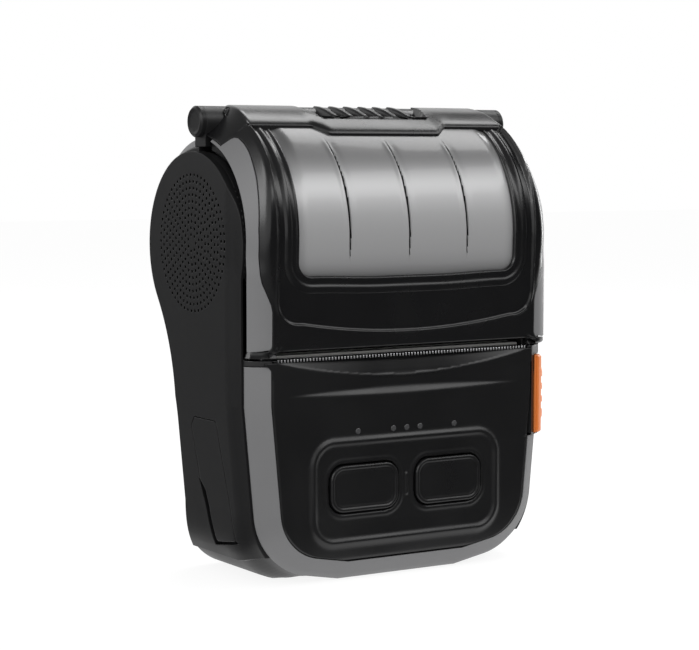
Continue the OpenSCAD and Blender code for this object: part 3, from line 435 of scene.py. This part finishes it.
def flare(bm):
    """Behind the bumper the body's lower corners are fuller than its face."""
    for y in (-22.5, -21, -19.2, -17.5, -15, -11):
        bmesh.ops.bisect_plane(bm, geom=bm.verts[:] + bm.edges[:] + bm.faces[:],
            plane_co=(0, y * MM, 0), plane_no=(0, 1, 0))
    for v in bm.verts:
        x, y, z = (c / MM for c in v.co)
        out, drop = abs(x) - CORNER_X, CORNER_Z - z
        if drop <= 0:
            continue
        turn = math.degrees(math.atan2(drop, out))
        far_out = math.hypot(out, drop)
        if turn > LAST_TURN or far_out < 0.75 * CORNER_R:
            continue
        push = FULLER * math.sin(math.pi * turn / LAST_TURN) ** 2 * ease(-24.6, -14, y)
        v.co.x += math.copysign(push * out / far_out, x) * MM
        v.co.z = max(0.02 * MM, v.co.z - push * drop / far_out * MM)

def tuck(bm):
    """The side covers turn in towards the bumpers along their front edge."""
    flare(bm)
    for v in bm.verts:
        y = v.co.y / MM
        v.co.x -= math.copysign(1.5 * ease(-18.8, -24, y), v.co.x) * MM

TOOTH_ROOT = -29.25

def black_roots(bm):
    """Faces behind the root line and faces turned upwards take the near-black second material; the
    tips stay steel.
    """
    bmesh.ops.bisect_plane(bm, geom=bm.verts[:] + bm.edges[:] + bm.faces[:],
        plane_co=(0, TOOTH_ROOT * MM, 0), plane_no=(0, 1, 0))
    for f in bm.faces:
        c = f.calc_center_median() / MM
        f.material_index = int(c.y > TOOTH_ROOT or f.normal.z > 0.5)

def sink_button(bm):
    """The button's outer corner steps back under the finer face made for it later."""
    for v in bm.verts:
        if v.co.x - v.co.y > 72 * MM and v.co.x > 46.3 * MM:
            v.co.x -= 0.6 * MM
            v.co.y += 0.6 * MM

DISC_Y, DISC_Z, DISC_R = 1.2, 94.4, 20.2
DIMPLE_FLOOR, DIMPLE_RIM = -51.5, -51.97

def dimples_painted_shade(bm):
    """The floors of the disc's dimples take the darker material, painted shade in the hollows."""
    tuck(bm)
    for f in bm.faces:
        c = f.calc_center_median()
        near = math.hypot(c.y - DISC_Y * MM, c.z - DISC_Z * MM) < DISC_R * MM
        if near and DIMPLE_RIM * MM < c.x < DIMPLE_FLOOR * MM:
            f.material_index = 1

# %% Skins
skins = [skin(n) for n in ("lower_bumper", "rear_bumper_left", "rear_bumper_right", "hinge_caps",
    "platen_roller")]
skins += [skin("tear_bar", black_roots, [steel, dimple_shade_and_root_black]), skin("release_button", sink_button),
    skin("rear_housing", flare), skin("port_cover", flare), skin("right_side_cover", tuck),
    skin("left_side_cover", dimples_painted_shade, [black_side, dimple_shade_and_root_black])]
print("skins:", len(skins))

# %% [markdown]
# ## The lid's surface
# The lid is the face of the printer: one smooth shell whose front is a drum of
# 34 mm radius on a straight foot. A flat grid is wrapped round that side
# profile, and a height in millimetres is added at each point: a land that
# stands proud round a U-shaped panel, the ledge with its tab above the window,
# a pocket for the grip ribs, and shoulders that fall away to the bumpers.

# %% The side profile
LID_Y, LID_Z, LID_R = 2.5, 97.0, 34.0
TOE_Y, TOE_Z = -30.0, 61.5
SPAN = math.hypot(TOE_Y - LID_Y, TOE_Z - LID_Z)
LEAN = math.atan2(TOE_Z - LID_Z, TOE_Y - LID_Y) % (2 * math.pi) - math.acos(LID_R / SPAN)
FLAT = math.sqrt(SPAN ** 2 - LID_R ** 2)

def on_lid(s):
    """Point and outward direction, in Y and Z, a distance s up the lid from its toe."""
    turn = LEAN if s < FLAT else LEAN - (s - FLAT) / LID_R
    out_y, out_z = math.cos(turn), math.sin(turn)
    down = max(0.0, FLAT - s)
    return LID_Y + LID_R * out_y - down * out_z, LID_Z + LID_R * out_z + down * out_y, out_y, out_z

def rise_to(z):
    """Distance up the lid at which its front reaches the height z."""
    lo, hi = 0.0, FLAT + LID_R * (LEAN - math.pi / 2)
    for _ in range(40):
        mid = (lo + hi) / 2
        lo, hi = (mid, hi) if on_lid(mid)[1] < z else (lo, mid)
    return lo

def rise_at(y):
    """Distance up the lid at which its top reaches the depth y."""
    return FLAT + LID_R * (LEAN - (math.pi - math.acos((LID_Y - y) / LID_R)))

print("the drum starts", round(on_lid(FLAT)[1], 2), "mm up")

# %% The lid's heights
STEP_BACK, STEP_TAB, TOP_END = rise_at(-14.6), rise_at(-17.8), rise_at(-0.4)
FOOT_MID, FOOT_SIDE = rise_to(65.6), rise_to(63.8)
SIDE_X, BULGE_Y, BULGE_Z = 50.3, 1.5, 95.6
U_HALF_X, U_CORNER_R, U_REACH = 42.6, 6.5, 80
POCKET_Y, POCKET_HALF_Y = 8.6, 21.0

def ledge_start(x):
    return between(abs(x), [(18.3, STEP_TAB), (22.3, STEP_BACK)])

def shoulder(x, y, z, oy, oz):
    """How high the surface may be before it meets the slope towards the side."""
    d = SIDE_X - abs(x)
    cone = 28.4 + 1.15 * d - 0.008 * d * d
    ry, rz = y - BULGE_Y, z - BULGE_Z
    rho = math.hypot(ry, rz)
    limit = (cone - rho) / max(0.3, (ry * oy + rz * oz) / rho)
    if z < 96:
        front = -27.0 - 5.0 * (1 - math.exp(-d / 4.6)) - 0.2 * max(0.0, d - 6)
        low = (front - y) / min(-0.3, oy) - 3 * ease(86, 96, z)
        limit = -soft_min(-limit, -low, 2.5)
    return limit

def lid_foot(x):
    return FOOT_MID if abs(x) < 42.5 else FOOT_SIDE

def lid_height(x, s):
    """The land round the U-shaped panel, then the ledge and pocket, then the shoulder."""
    y, z, oy, oz = on_lid(s)
    start = ledge_start(x)
    panel_low = 70 + 3 * min(1.0, (abs(x) / 35) ** 2)
    d = box_distance(x, z - (panel_low + U_REACH), U_HALF_X, U_REACH, U_CORNER_R)
    land = 0.35 + 1.35 * ease(96, 124, z)
    h = ease(-0.5, 0.4, d) * land + 0.28 * lump(d - 0.45, 0.4)
    if s >= start - 1e-6:
        h = max(h, 1.75 - 0.75 * math.exp(-(s - start) / 0.9) + 0.45 * ease(0, 9, s - start))
        half = 17.6 + 2.9 * ease(-13, -1, y)
        inside = box_distance(x, y - POCKET_Y, half, POCKET_HALF_Y, 1.2)
        h -= 2.6 * ease(0.35, -0.45, inside)
    h = soft_min(h, shoulder(x, y, z, oy, oz), 1.1)
    lip = s - lid_foot(x)
    return h - 0.5 * max(0.0, 1 - lip / 0.6) ** 2

BUMPER_EDGE = [(63.8, 49.7), (65.6, 49.7), (65.9, 45.6), (66.4, 44.6), (67.2, 44.2), (76.6, 44.2),
    (78.5, 44.6), (84.2, 47.0), (86.5, 47.5), (92, 47.85), (99, 47.85), (105.6, 47.35),
    (109.6, 47.0), (113.6, 46.6), (117.7, 46.3), (120.7, 46.05), (123.1, 46.05), (125.0, 46.3),
    (125.8, 46.8), (126.2, 48.0), (126.3, 49.7)]

def lid_point(x, s, height=None):
    y, z, oy, oz = on_lid(s)
    h = lid_height(x, s) if height is None else height
    return Vector((x, y + oy * h, z + oz * h)) * MM

print("the ledge starts", round(STEP_BACK, 1), "mm up the lid")

# %% [markdown]
# ## The lid's shell
# The grid's rows bend so that one of them runs along the ledge's front edge,
# and its last column follows the bumper. The faces under the window are taken
# out, and a wall is then given to the sheet.

# %% Wrap the grid
def wrapped(name, columns, rows, place, mats, body, wall, angle=40, change=None):
    """A grid put in place by a function of u and v, facing out, with a wall in millimetres."""
    bm = bmesh.new()
    bmesh.ops.create_grid(bm, x_segments=columns, y_segments=rows, size=0.5)
    for v in bm.verts:
        v.co = place(v.co.x + 0.5, v.co.y + 0.5)
    bmesh.ops.recalc_face_normals(bm, faces=bm.faces)
    if sum(f.normal.y * f.calc_area() for f in bm.faces) > 0:
        bmesh.ops.reverse_faces(bm, faces=bm.faces)
    if change:
        change(bm)
    obj = finish_mesh(bm, name, mats, body, angle, weighted=False)
    thick = obj.modifiers.new("wall", "SOLIDIFY")
    thick.thickness = wall * MM
    thick.offset = -1
    return obj

# %% The shell's grid
ROWS_BELOW, ROWS_ABOVE, COLUMNS = 128, 48, 190
DENSE_LOW, DENSE_HIGH = rise_to(68), rise_to(74.5)
INNER_X, INNER_SHARE = 36, 0.45

def across(t, edge):
    """Columns stand wide apart up to INNER_X and close together from there to the edge."""
    if t < INNER_SHARE:
        return INNER_X * t / INNER_SHARE
    return INNER_X + (edge - INNER_X) * (t - INNER_SHARE) / (1 - INNER_SHARE)

def edge_at(s):
    return between(on_lid(s)[1], BUMPER_EDGE)

def lid_place(u, v):
    side = -1 if u < 0.5 else 1
    t = abs(u - 0.5) * 2
    row = v * (ROWS_BELOW + ROWS_ABOVE)
    guess = across(t, 45.8)
    foot, start = lid_foot(guess), ledge_start(guess)
    if row <= ROWS_BELOW - 1:
        s = between(row, [(0, foot), (8, DENSE_LOW), (44, DENSE_HIGH), (ROWS_BELOW - 1, start - 0.02)])
    else:
        s = start + (TOP_END - start) * max(0.0, row - ROWS_BELOW) / ROWS_ABOVE
    edge = min(49.75, edge_at(s) - 0.08)
    return lid_point(side * across(t, edge), s)

# %% The opening for the window
WINDOW_X, WINDOW_Z, WINDOW_R, WINDOW_REACH, ARCH = 36.6, 84.9, 4.5, 40, 0.6

def window_distance(x, z):
    low = WINDOW_Z + ARCH * ease(10, 32, abs(x))
    return box_distance(x, z - low - WINDOW_REACH, WINDOW_X, WINDOW_REACH, WINDOW_R)

def under_window(f):
    """True for a face under the window that isn't part of the ledge above it."""
    c = f.calc_center_median() / MM
    proud = math.hypot(c.y - LID_Y, c.z - LID_Z) > LID_R + 0.25
    ledge = proud and c.z > 118 and c.y > LID_Y - LID_R + 8
    return c.y < -13 and window_distance(c.x, c.z) < 3.2 and not ledge

def open_window(bm):
    bmesh.ops.delete(bm, geom=[f for f in bm.faces if under_window(f)], context="FACES")

lid_shell = wrapped("lid_shell", COLUMNS, ROWS_BELOW + ROWS_ABOVE, lid_place, [black_lid], "lid", 0.9,
    change=open_window)
print("lid shell", len(lid_shell.data.polygons), "faces")

# %% [markdown]
# The edge of that opening is hidden by the bezel, a moulding whose section is a
# short list of distances from the window's edge and heights.

# %% Window bezel
SECTION = [(-0.5, -0.7), (-0.3, 0.05), (-0.1, 0.24), (0.15, 0.28), (0.4, 0.2), (0.7, 0.05),
    (1.1, -0.02), (1.6, 0.04), (2.0, 0.2), (2.4, 0.42), (2.8, 0.5), (3.2, 0.46), (3.6, 0.32),
    (4.0, 0.12), (4.4, -0.12), (4.7, -0.5)]
OUTWARD, HEIGHT = zip(*SECTION)
WINDOW_LOW = rise_to(WINDOW_Z)

def bezel_place(u, v):
    """u runs down the left side, round the foot and up the right side; v runs across."""
    out, h = pick(OUTWARD, v), pick(HEIGHT, v)
    r = WINDOW_R + out
    straight = STEP_BACK + 0.6 - WINDOW_LOW - WINDOW_R
    arc, foot = math.pi / 2 * WINDOW_R, WINDOW_X - WINDOW_R
    p = abs(u - 0.5) * 2 * (straight + arc + foot)
    if p < foot:
        x, z = p, -out
    elif p < foot + arc:
        turn = (p - foot) / WINDOW_R
        x, z = foot + r * math.sin(turn), WINDOW_R - r * math.cos(turn)
    else:
        x, z = WINDOW_X + out, WINDOW_R + p - foot - arc
    arch = ARCH * ease(10, 32, x) * ease(12, 0, z)
    return lid_point(math.copysign(x, u - 0.5), WINDOW_LOW + z + arch, h)

bezel = wrapped("window_frame", 300, len(SECTION) - 1, bezel_place, [black_lid], "lid", 0.4)
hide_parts("window_bezel")
print("bezel", len(bezel.data.polygons), "faces")

# %% Lid bumpers
BUMPER_OUT, BUMPER_LOW, BUMPER_HIGH = 50.28, FOOT_SIDE + 1.9, rise_at(-9.2)

def bumper_place(side):
    def place(u, v):
        s = BUMPER_LOW + (BUMPER_HIGH - BUMPER_LOW) * v
        edge = edge_at(s) + 0.08
        return lid_point(side * (edge + (BUMPER_OUT - edge) * u), s)
    return place

for hand, side in (("left", -1), ("right", 1)):
    bumper = wrapped("lid_bumper_" + hand, 24, 120, bumper_place(side), [bumper_grey], "lid", 0.9)
    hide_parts("upper_bumper_" + hand)
print("a lid bumper has", len(bumper.data.polygons), "faces")

# %% [markdown]
# Behind the new shell the lid keeps its frame, barrels and ribs: a copy of the
# solid whose outside is sunk by 0.9 mm, so that it never shows through.

# %% The lid's core
HINGE_Y, HINGE_Z, BARREL_REACH = -0.3, 128.3, 5.2

def sink(bm):
    """The foot, the grip pocket and the hinge barrels stay, the rest goes inwards."""
    for v in bm.verts:
        x, y, z = (c / MM for c in v.co)
        if z < 64.5 or (abs(x) < 21.5 and y > -13.2 and z > 126):
            continue
        if math.hypot(y - HINGE_Y, z - HINGE_Z) < BARREL_REACH:
            continue
        r = math.hypot(y - LID_Y, z - LID_Z)
        if z > 95.5 and r > 32.6:
            k = (r - 32.9) / r if r > 33.6 else 0.9 / r
            v.co.y -= (y - LID_Y) * k * MM
            v.co.z -= (z - LID_Z) * k * MM
        elif z <= 95.5 and y < -28.6:
            v.co.y = max(v.co.y, -29.0 * MM) + 0.5 * MM
        if abs(x) > 43.5 and r > 27.5:
            v.co.x -= math.copysign(0.9 * MM, x)

skin("lid_frame", sink)
print("lid core sunk")

# %% [markdown]
# ## The smoked window
# The window is moulded with three long creases that taper to nothing at both
# ends. Each has a lip that catches the light beside a slit whose floor is painted near-black as
# painted shade.

# %% Window
CREASES = (-19.7, 0.0, 19.7)
CREASE_SHIFT = [(89, -0.05), (99, 0.1), (105, 0.05), (113, -0.25), (119, -0.8), (123.5, -1.5)]
CREASE_WIDTH = [(89.5, 0.0), (93, 0.28), (99, 0.5), (106, 0.55), (113, 0.42), (119, 0.22),
    (123.5, 0.0)]
WIDEST = 0.55
stations = sorted(set([round(-37.4 + 0.85 * i, 3) for i in range(89)]
    + [round(c + 0.16 * j, 3) for c in CREASES for j in range(-18, 19)]))
PANE_LOW, PANE_HIGH = rise_to(83.4), STEP_TAB + 4.5

def window_place(u, v):
    x = pick(stations, u)
    s = PANE_LOW + (PANE_HIGH - PANE_LOW) * v
    z = on_lid(s)[1]
    h = -0.3 + 0.75 * ease(104, 125, z) - 0.7 * ease(-4.0, -0.2, window_distance(x, z))
    w = between(z, CREASE_WIDTH)
    for c in CREASES:
        d = x - c - between(z, CREASE_SHIFT)
        if w > 0 and -4 < d < 4:
            lip, slit, hollow = lump(d + w + 0.55, 0.75), lump(d, max(0.1, w), 4), lump(d - 1.1, 1.2)
            h += (0.34 * lip - 0.8 * slit - 0.22 * hollow) * w / WIDEST
    return lid_point(x, s, h)

window = wrapped("window_pane", len(stations) - 1, 110, window_place, [smoked, crease_painted_shade],
    "lid", 1.1)
# The slits' faces take the second material, near-black painted shade in the creases.
for p in window.data.polygons:
    c = p.center / MM
    w, shift = between(c.z, CREASE_WIDTH), between(c.z, CREASE_SHIFT)
    if w > 0.08 and any(abs(c.x - k - shift) < w * 0.85 for k in CREASES):
        p.material_index = 1
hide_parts("lid_window")
print("window", len(window.data.polygons), "faces")

# %% [markdown]
# ## The front panel
# Under the paper slot the panel is scooped out so that torn paper can be
# gripped, a crescent ridge runs below it, and a soft frame stands round the two
# keys. These are heights over a flat sheet whose sides follow the bumper.

# %% Panel outline
FRONT = -29.7
PANEL_LOW, PANEL_X, NECK_Z, SEAM_Z = 5.8, 44.0, 59.5, 61.85
ARC_X, ARC_Z, ARC_R, TOP_FILLET = 27, 21.6, 14.2, 2.4

def half_width(z):
    """Half the width inside the lower bumper: a slope, an arc, the side and a fillet."""
    if z < 7.63:
        return ARC_X + (ARC_R + 0.9838 * (z - ARC_Z)) / 0.1792
    if z < 20.28:
        return ARC_X + math.sqrt(ARC_R ** 2 - (z - ARC_Z) ** 2)
    side = min(PANEL_X, ARC_X + (ARC_R + 0.0929 * (z - ARC_Z)) / 0.9957)
    if z > NECK_Z:
        side += TOP_FILLET - math.sqrt(max(0.0, TOP_FILLET ** 2 - (z - NECK_Z) ** 2))
    return side

print("the panel is", round(2 * half_width(40), 1), "mm wide at 40 mm")

# %% Panel heights
KEY_X, KEY_Z = 14.2, 26.2

def panel_height(x, z):
    """Scoop, crescent ridge, the frame round the keys, the rib between them, the recesses."""
    h = 0.0
    into = z - 226.8 + math.sqrt(170 ** 2 - x * x)
    if abs(x) < 43 and into > -1.2:
        down = max(0.0, into) if into > 0.6 else 0.6 * ease(-0.6, 1.8, into) ** 1.5
        h -= 0.43 * down * ease(43.2, 41.0, abs(x))
    fade = max(0.0, 1 - (x / 39.3) ** 2)
    low, high = 52 + (1 - fade) * 1.0, 54.7 - (1 - fade) * 1.6
    h -= 0.85 * fade * ease(low, high, z) * ease(63, 56, z)
    h += 0.22 * fade * lump(z - low + 0.3, 0.8)
    pad = box_distance(x, z - 25.35, 30.9, 14.1, 6.8)
    h += 0.75 * lump(pad, 1.05) - 0.25 * ease(-1.5, -5, pad)
    h += 0.45 * lump(x, 0.55) * ease(22.6, 23.4, z) * ease(29.6, 28.8, z)
    for side in (-1, 1):
        key = box_distance(x - side * KEY_X, z - KEY_Z, 11.55, 6.95, 4.65)
        h += 0.3 * lump(key - 0.9, 0.7) - 1.7 * ease(0.12, -0.12, key)
    edge = min(half_width(min(z, SEAM_Z)) - abs(x), z - PANEL_LOW)
    return h - 0.45 * max(0.0, 1 - edge / 0.7) ** 2 * ease(59, 58, z) + 0.04 * ease(58, 59, z)

print("deepest at the slot:", round(panel_height(0, 62), 2), "mm")

# %% Panel grid
XS = ([-1 + 0.012 * i for i in range(20)] + [-0.76 + 0.0068 * i for i in range(1, 224)]
    + [0.7692 + 0.0121 * i for i in range(20)])
ZS = ([PANEL_LOW + 0.5 * i for i in range(7)] + [9.3 + 0.3 * i for i in range(112)]
    + [43.4 + 0.75 * i for i in range(9)] + [50.3 + 0.34 * i for i in range(37)])
BUTTON_BOTTOM = 36.8

def panel_place(u, v):
    """The right side runs straight up where the release button stands."""
    z, t = pick(ZS, v), pick(XS, u)
    left = half_width(min(z, SEAM_Z))
    right = half_width(z) if z < BUTTON_BOTTOM else PANEL_X
    x = t * (right if t > 0 else left)
    return Vector((x, FRONT - panel_height(x, z), z)) * MM

panel = wrapped("front_panel", len(XS) - 1, len(ZS) - 1, panel_place, [black_front], "body", 1.0, 50)
print("panel", len(panel.data.polygons), "faces up to", round(ZS[-1], 2))

# %% [markdown]
# Behind it the cover keeps its bevelled sides, holes and bosses, with its old
# face taken off.

# %% The cover behind the panel
def open_face(bm):
    """Delete the flat face, and step what is left of it back behind the panel."""
    old = [f for f in bm.faces if f.calc_center_median().y < -28.8 * MM and f.normal.y < -0.9
           and f.calc_center_median().z < 63 * MM]
    bmesh.ops.delete(bm, geom=old, context="FACES")
    for v in bm.verts:
        if v.co.y < -29.4 * MM and abs(v.co.x) < 43.5 * MM and 8 * MM < v.co.z < 62.4 * MM:
            v.co.y = -28.9 * MM

skin("front_cover", open_face)
print("cover opened")

# %% [markdown]
# ## Keys and lights
# A key is a stack of rounded outlines: each ring is the last one, extruded and
# moved to its own inset and height. The lights are small domes.

# %% Rings
def ring_point(way, half_x, half_z, r, inset):
    """The point of a rounded rectangle that lies in the direction of a unit vector."""
    small = max(0.05, r - inset)
    return (math.copysign(half_x - r, way[0]) + small * way[0],
        math.copysign(half_z - r, way[1]) + small * way[1])

def stack(name, cx, cz, half_x, half_z, r, rings, mat, body, segments=64):
    bm = bmesh.new()
    made = bmesh.ops.create_circle(bm, cap_ends=False, segments=segments, radius=1.0)
    turn = Matrix.Rotation(math.pi / segments, 3, "Z")
    dirs = {v: (turn @ v.co).to_2d() for v in made["verts"]}
    def settle(loop, inset, high):
        for v in loop:
            x, z = ring_point(dirs[v], half_x, half_z, r, inset)
            v.co = Vector((cx + x, FRONT - high, cz + z)) * MM
    settle(made["verts"], *rings[0])
    last = set(made["verts"])
    edges = list(bm.edges)
    for inset, high in rings[1:]:
        grown = bmesh.ops.extrude_edge_only(bm, edges=edges)["geom"]
        new = [g for g in grown if isinstance(g, bmesh.types.BMVert)]
        for v in new:
            dirs[v] = next(dirs[e.other_vert(v)] for e in v.link_edges if e.other_vert(v) in last)
        settle(new, inset, high)
        last = set(new)
        edges = [g for g in grown if isinstance(g, bmesh.types.BMEdge) and last.issuperset(g.verts)]
    bmesh.ops.edgeloop_fill(bm, edges=edges)
    bmesh.ops.recalc_face_normals(bm, faces=bm.faces)
    top = min(bm.faces, key=lambda f: f.calc_center_median().y)
    if top.normal.y > 0:
        bmesh.ops.reverse_faces(bm, faces=bm.faces)
    return finish_mesh(bm, name, [mat], body, 60)

# %% Key caps and lights
KEY_RINGS = [(0, -1.0), (0, 0.15), (0.12, 0.42), (0.4, 0.6), (0.75, 0.62), (1.05, 0.5), (1.3, 0.3),
    (1.55, 0.28), (1.8, 0.4), (2.3, 0.48), (3.2, 0.5), (4.2, 0.5)]
DOME_RINGS = [(0, -1.0), (0, 0.02), (0.08, 0.1), (0.25, 0.16), (0.5, 0.2)]
LIGHT_XS, LIGHT_Z, LIGHT_R = (-16.3, -4.5, 0, 4.5, 16.3), 42.2, 0.85
for name, x in (("power_key", -KEY_X), ("feed_key", KEY_X)):
    key = stack(name + "_cap", x, KEY_Z, 11.2, 6.6, 4.3, KEY_RINGS, key_black, body_of[name])
    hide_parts(name)
for i, x in enumerate(LIGHT_XS):
    dome = stack(f"light_{i + 1}", x, LIGHT_Z, LIGHT_R, LIGHT_R, LIGHT_R, DOME_RINGS, lens_grey,
        "body", 24)
    if i == 0:
        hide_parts("indicator_lights")
print("keys and lights are in place")

# %% [markdown]
# ## The lid's release button
# The button's face follows its plan round the corner. All of it but a strip at
# the front tapers towards both ends, and three grip notches cross it.

# %% Release button
PLAN_X = (46.6, 48.3, 50.0, 51.3, 51.85, 51.85)
PLAN_Y = (-29.75, -28.7, -27.0, -24.8, -22.6, -18.2)
BUTTON_LOW, BUTTON_HIGH, NOTCHES = 37.35, 60.25, (45.0, 48.8, 52.6)
DIAGONAL = 0.7

def button_place(u, v):
    """Each cut goes in along the diagonal that the button is pressed along."""
    z = BUTTON_LOW + (BUTTON_HIGH - BUTTON_LOW) * v
    outer = ease(0.24, 0.3, u)
    end = min(z - BUTTON_LOW, BUTTON_HIGH - z)
    deep = 0.5 * max(0.0, 1 - end / 0.6) ** 2 + outer * 0.36 * max(0.0, 4.6 - end)
    deep += sum(outer * 1.2 * ease(1.1, 0.8, abs(z - notch)) for notch in NOTCHES)
    deep = DIAGONAL * (deep + 0.12 * lump(u - 0.25, 0.03))
    return Vector((pick(PLAN_X, u) - deep, pick(PLAN_Y, u) + deep, z)) * MM

button = wrapped("release_face", 44, 120, button_place, [orange], "release", 0.8)
print("button face", len(button.data.polygons), "faces")
